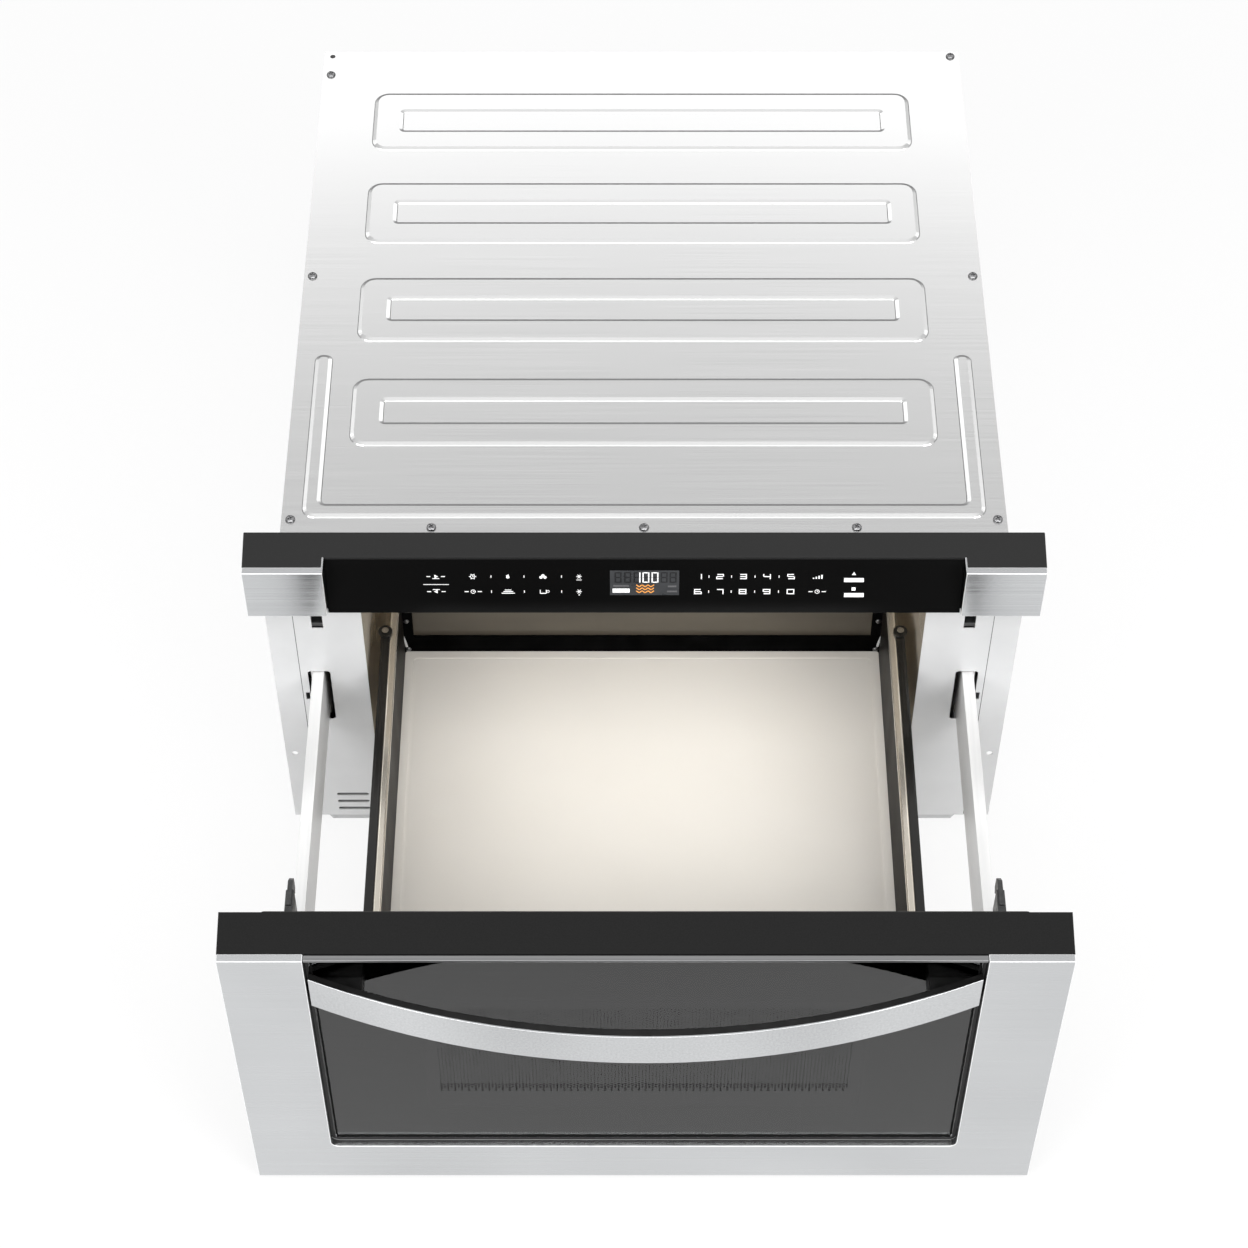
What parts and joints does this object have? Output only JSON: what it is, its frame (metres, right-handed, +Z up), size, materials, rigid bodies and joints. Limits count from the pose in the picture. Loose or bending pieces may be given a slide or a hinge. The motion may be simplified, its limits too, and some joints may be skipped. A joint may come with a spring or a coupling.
{
  "type": "microwave drawer",
  "caption": "Built-in microwave oven whose tray, door and bow handle slide out of a steel cabinet on two side bars.",
  "frame": {"origin": "centre of the cabinet's underside", "axes": "+X to the right seen from the front, +Y towards the back, +Z up; the drawer opens towards -Y"},
  "size_m": [0.6086, 0.945, 0.3865],
  "materials": {
    "cover_steel": "light brushed steel, pressed",
    "cabinet_steel": "bright zinc-coated sheet",
    "stainless": "brushed stainless steel",
    "handle_chrome": "polished stainless steel",
    "charcoal_plastic": "fine satin charcoal moulding",
    "black_plastic": "black moulding",
    "panel_glass": "opaque black glass",
    "window_glass": "dark tinted glass",
    "seal_rubber": "black seal",
    "screen_metal": "black perforated sheet",
    "door_plate": "dark enamel",
    "cream_ceramic": "glossy cream glaze",
    "enamel": "beige enamel",
    "tray_wall": "cream enamel",
    "rail_gloss": "glossy dark brown",
    "rear_frame": "black paint",
    "rear_brown": "satin brown",
    "screw_steel": "bright plated steel",
    "slide_steel": "bright drawn steel",
    "nylon": "white nylon",
    "display": "display behind the glass",
    "circuit_board": "green circuit board",
    "magnetron_metal": "plain aluminium and steel",
    "copper": "enamelled copper windings",
    "core_iron": "varnished laminations",
    "motor_metal": "zinc-plated can"
  },
  "bodies": {
    "cabinet": {"base_pan": "cabinet_steel", "bulkhead": "cabinet_steel", "capacitor": "magnetron_metal", "cavity_liner": "enamel", "control_board": "circuit_board", "control_glass": "panel_glass", "control_housing": "charcoal_plastic", "cover_screws": "screw_steel", "display_module": "display", "drawer_motor": "motor_metal", "fan_frame": "black_plastic", "fan_motor": "motor_metal", "front_plate": "cabinet_steel", "latch_switches": "black_plastic", "magnetron": "magnetron_metal", "motor_bracket": "cabinet_steel", "oven_lamp": "motor_metal", "panel_trim_left": "stainless", "panel_trim_right": "stainless", "power_gland": "black_plastic", "rack_guide": "cabinet_steel", "rear_panel": "cabinet_steel", "side_panel_left": "cabinet_steel", "side_panel_right": "cabinet_steel", "slide_guide_left": "slide_steel", "slide_guide_right": "slide_steel", "stirrer_cover": "nylon", "stirrer_motor": "motor_metal", "top_cover": "cover_steel", "transformer_core": "core_iron", "transformer_windings": "copper", "waveguide": "cabinet_steel"},
    "drawer": {"door_shell": "charcoal_plastic", "door_frame": "stainless", "door_top_trim": "stainless", "door_glass": "window_glass", "glass_seal": "seal_rubber", "perforated_screen": "screen_metal", "door_inner_plate": "door_plate", "handle_bar": "handle_chrome", "handle_backing": "black_plastic", "tray_pan": "tray_wall", "ceramic_floor": "cream_ceramic", "tray_side_left": "tray_wall", "tray_side_right": "tray_wall", "side_rail_left": "rail_gloss", "side_rail_right": "rail_gloss", "rear_wall_frame": "rear_frame", "rear_wall_panel": "rear_brown", "rear_wall_screws": "screw_steel", "slide_bar_left": "slide_steel", "slide_bar_right": "slide_steel", "door_hooks": "black_plastic", "drive_rack": "nylon"},
    "fan_impeller": {"fan_impeller": "black_plastic"},
    "stirrer_fan": {"stirrer_fan": "magnetron_metal"},
    "drive_pinion": {"drive_pinion": "nylon"},
    "guide_roller_left": {"guide_roller_left": "nylon"},
    "guide_roller_right": {"guide_roller_right": "nylon"}
  },
  "joints": [
    {"name": "drawer_slide", "type": "slide", "parent": "cabinet", "child": "drawer", "axis": [0, 1, 0], "range_m": [0, 0.298]},
    {"name": "pinion_spin", "type": "hinge", "parent": "cabinet", "child": "drive_pinion", "pos_m": [0, -0.06, 0.0465], "axis": [-1, 0, 0], "range_deg": [0, 1270]},
    {"name": "roller_spin_left", "type": "hinge", "parent": "cabinet", "child": "guide_roller_left", "pos_m": [-0.262, -0.256, 0.1437], "axis": [-1, 0, 0], "range_deg": [0, 2140]},
    {"name": "roller_spin_right", "type": "hinge", "parent": "cabinet", "child": "guide_roller_right", "pos_m": [0.262, -0.256, 0.1437], "axis": [-1, 0, 0], "range_deg": [0, 2140]},
    {"name": "fan_spin", "type": "hinge", "parent": "cabinet", "child": "fan_impeller", "pos_m": [0, 0.25, 0.255], "axis": [0, 1, 0], "continuous": true},
    {"name": "stirrer_spin", "type": "hinge", "parent": "cabinet", "child": "stirrer_fan", "pos_m": [0, -0.076, 0.308], "axis": [0, 0, 1], "continuous": true}
  ],
  "couplings": [
    {"joint": "pinion_spin", "follows": "drawer_slide", "rad_per_m": 74.074},
    {"joint": "roller_spin_left", "follows": "drawer_slide", "rad_per_m": 125},
    {"joint": "roller_spin_right", "follows": "drawer_slide", "rad_per_m": 125}
  ]
}
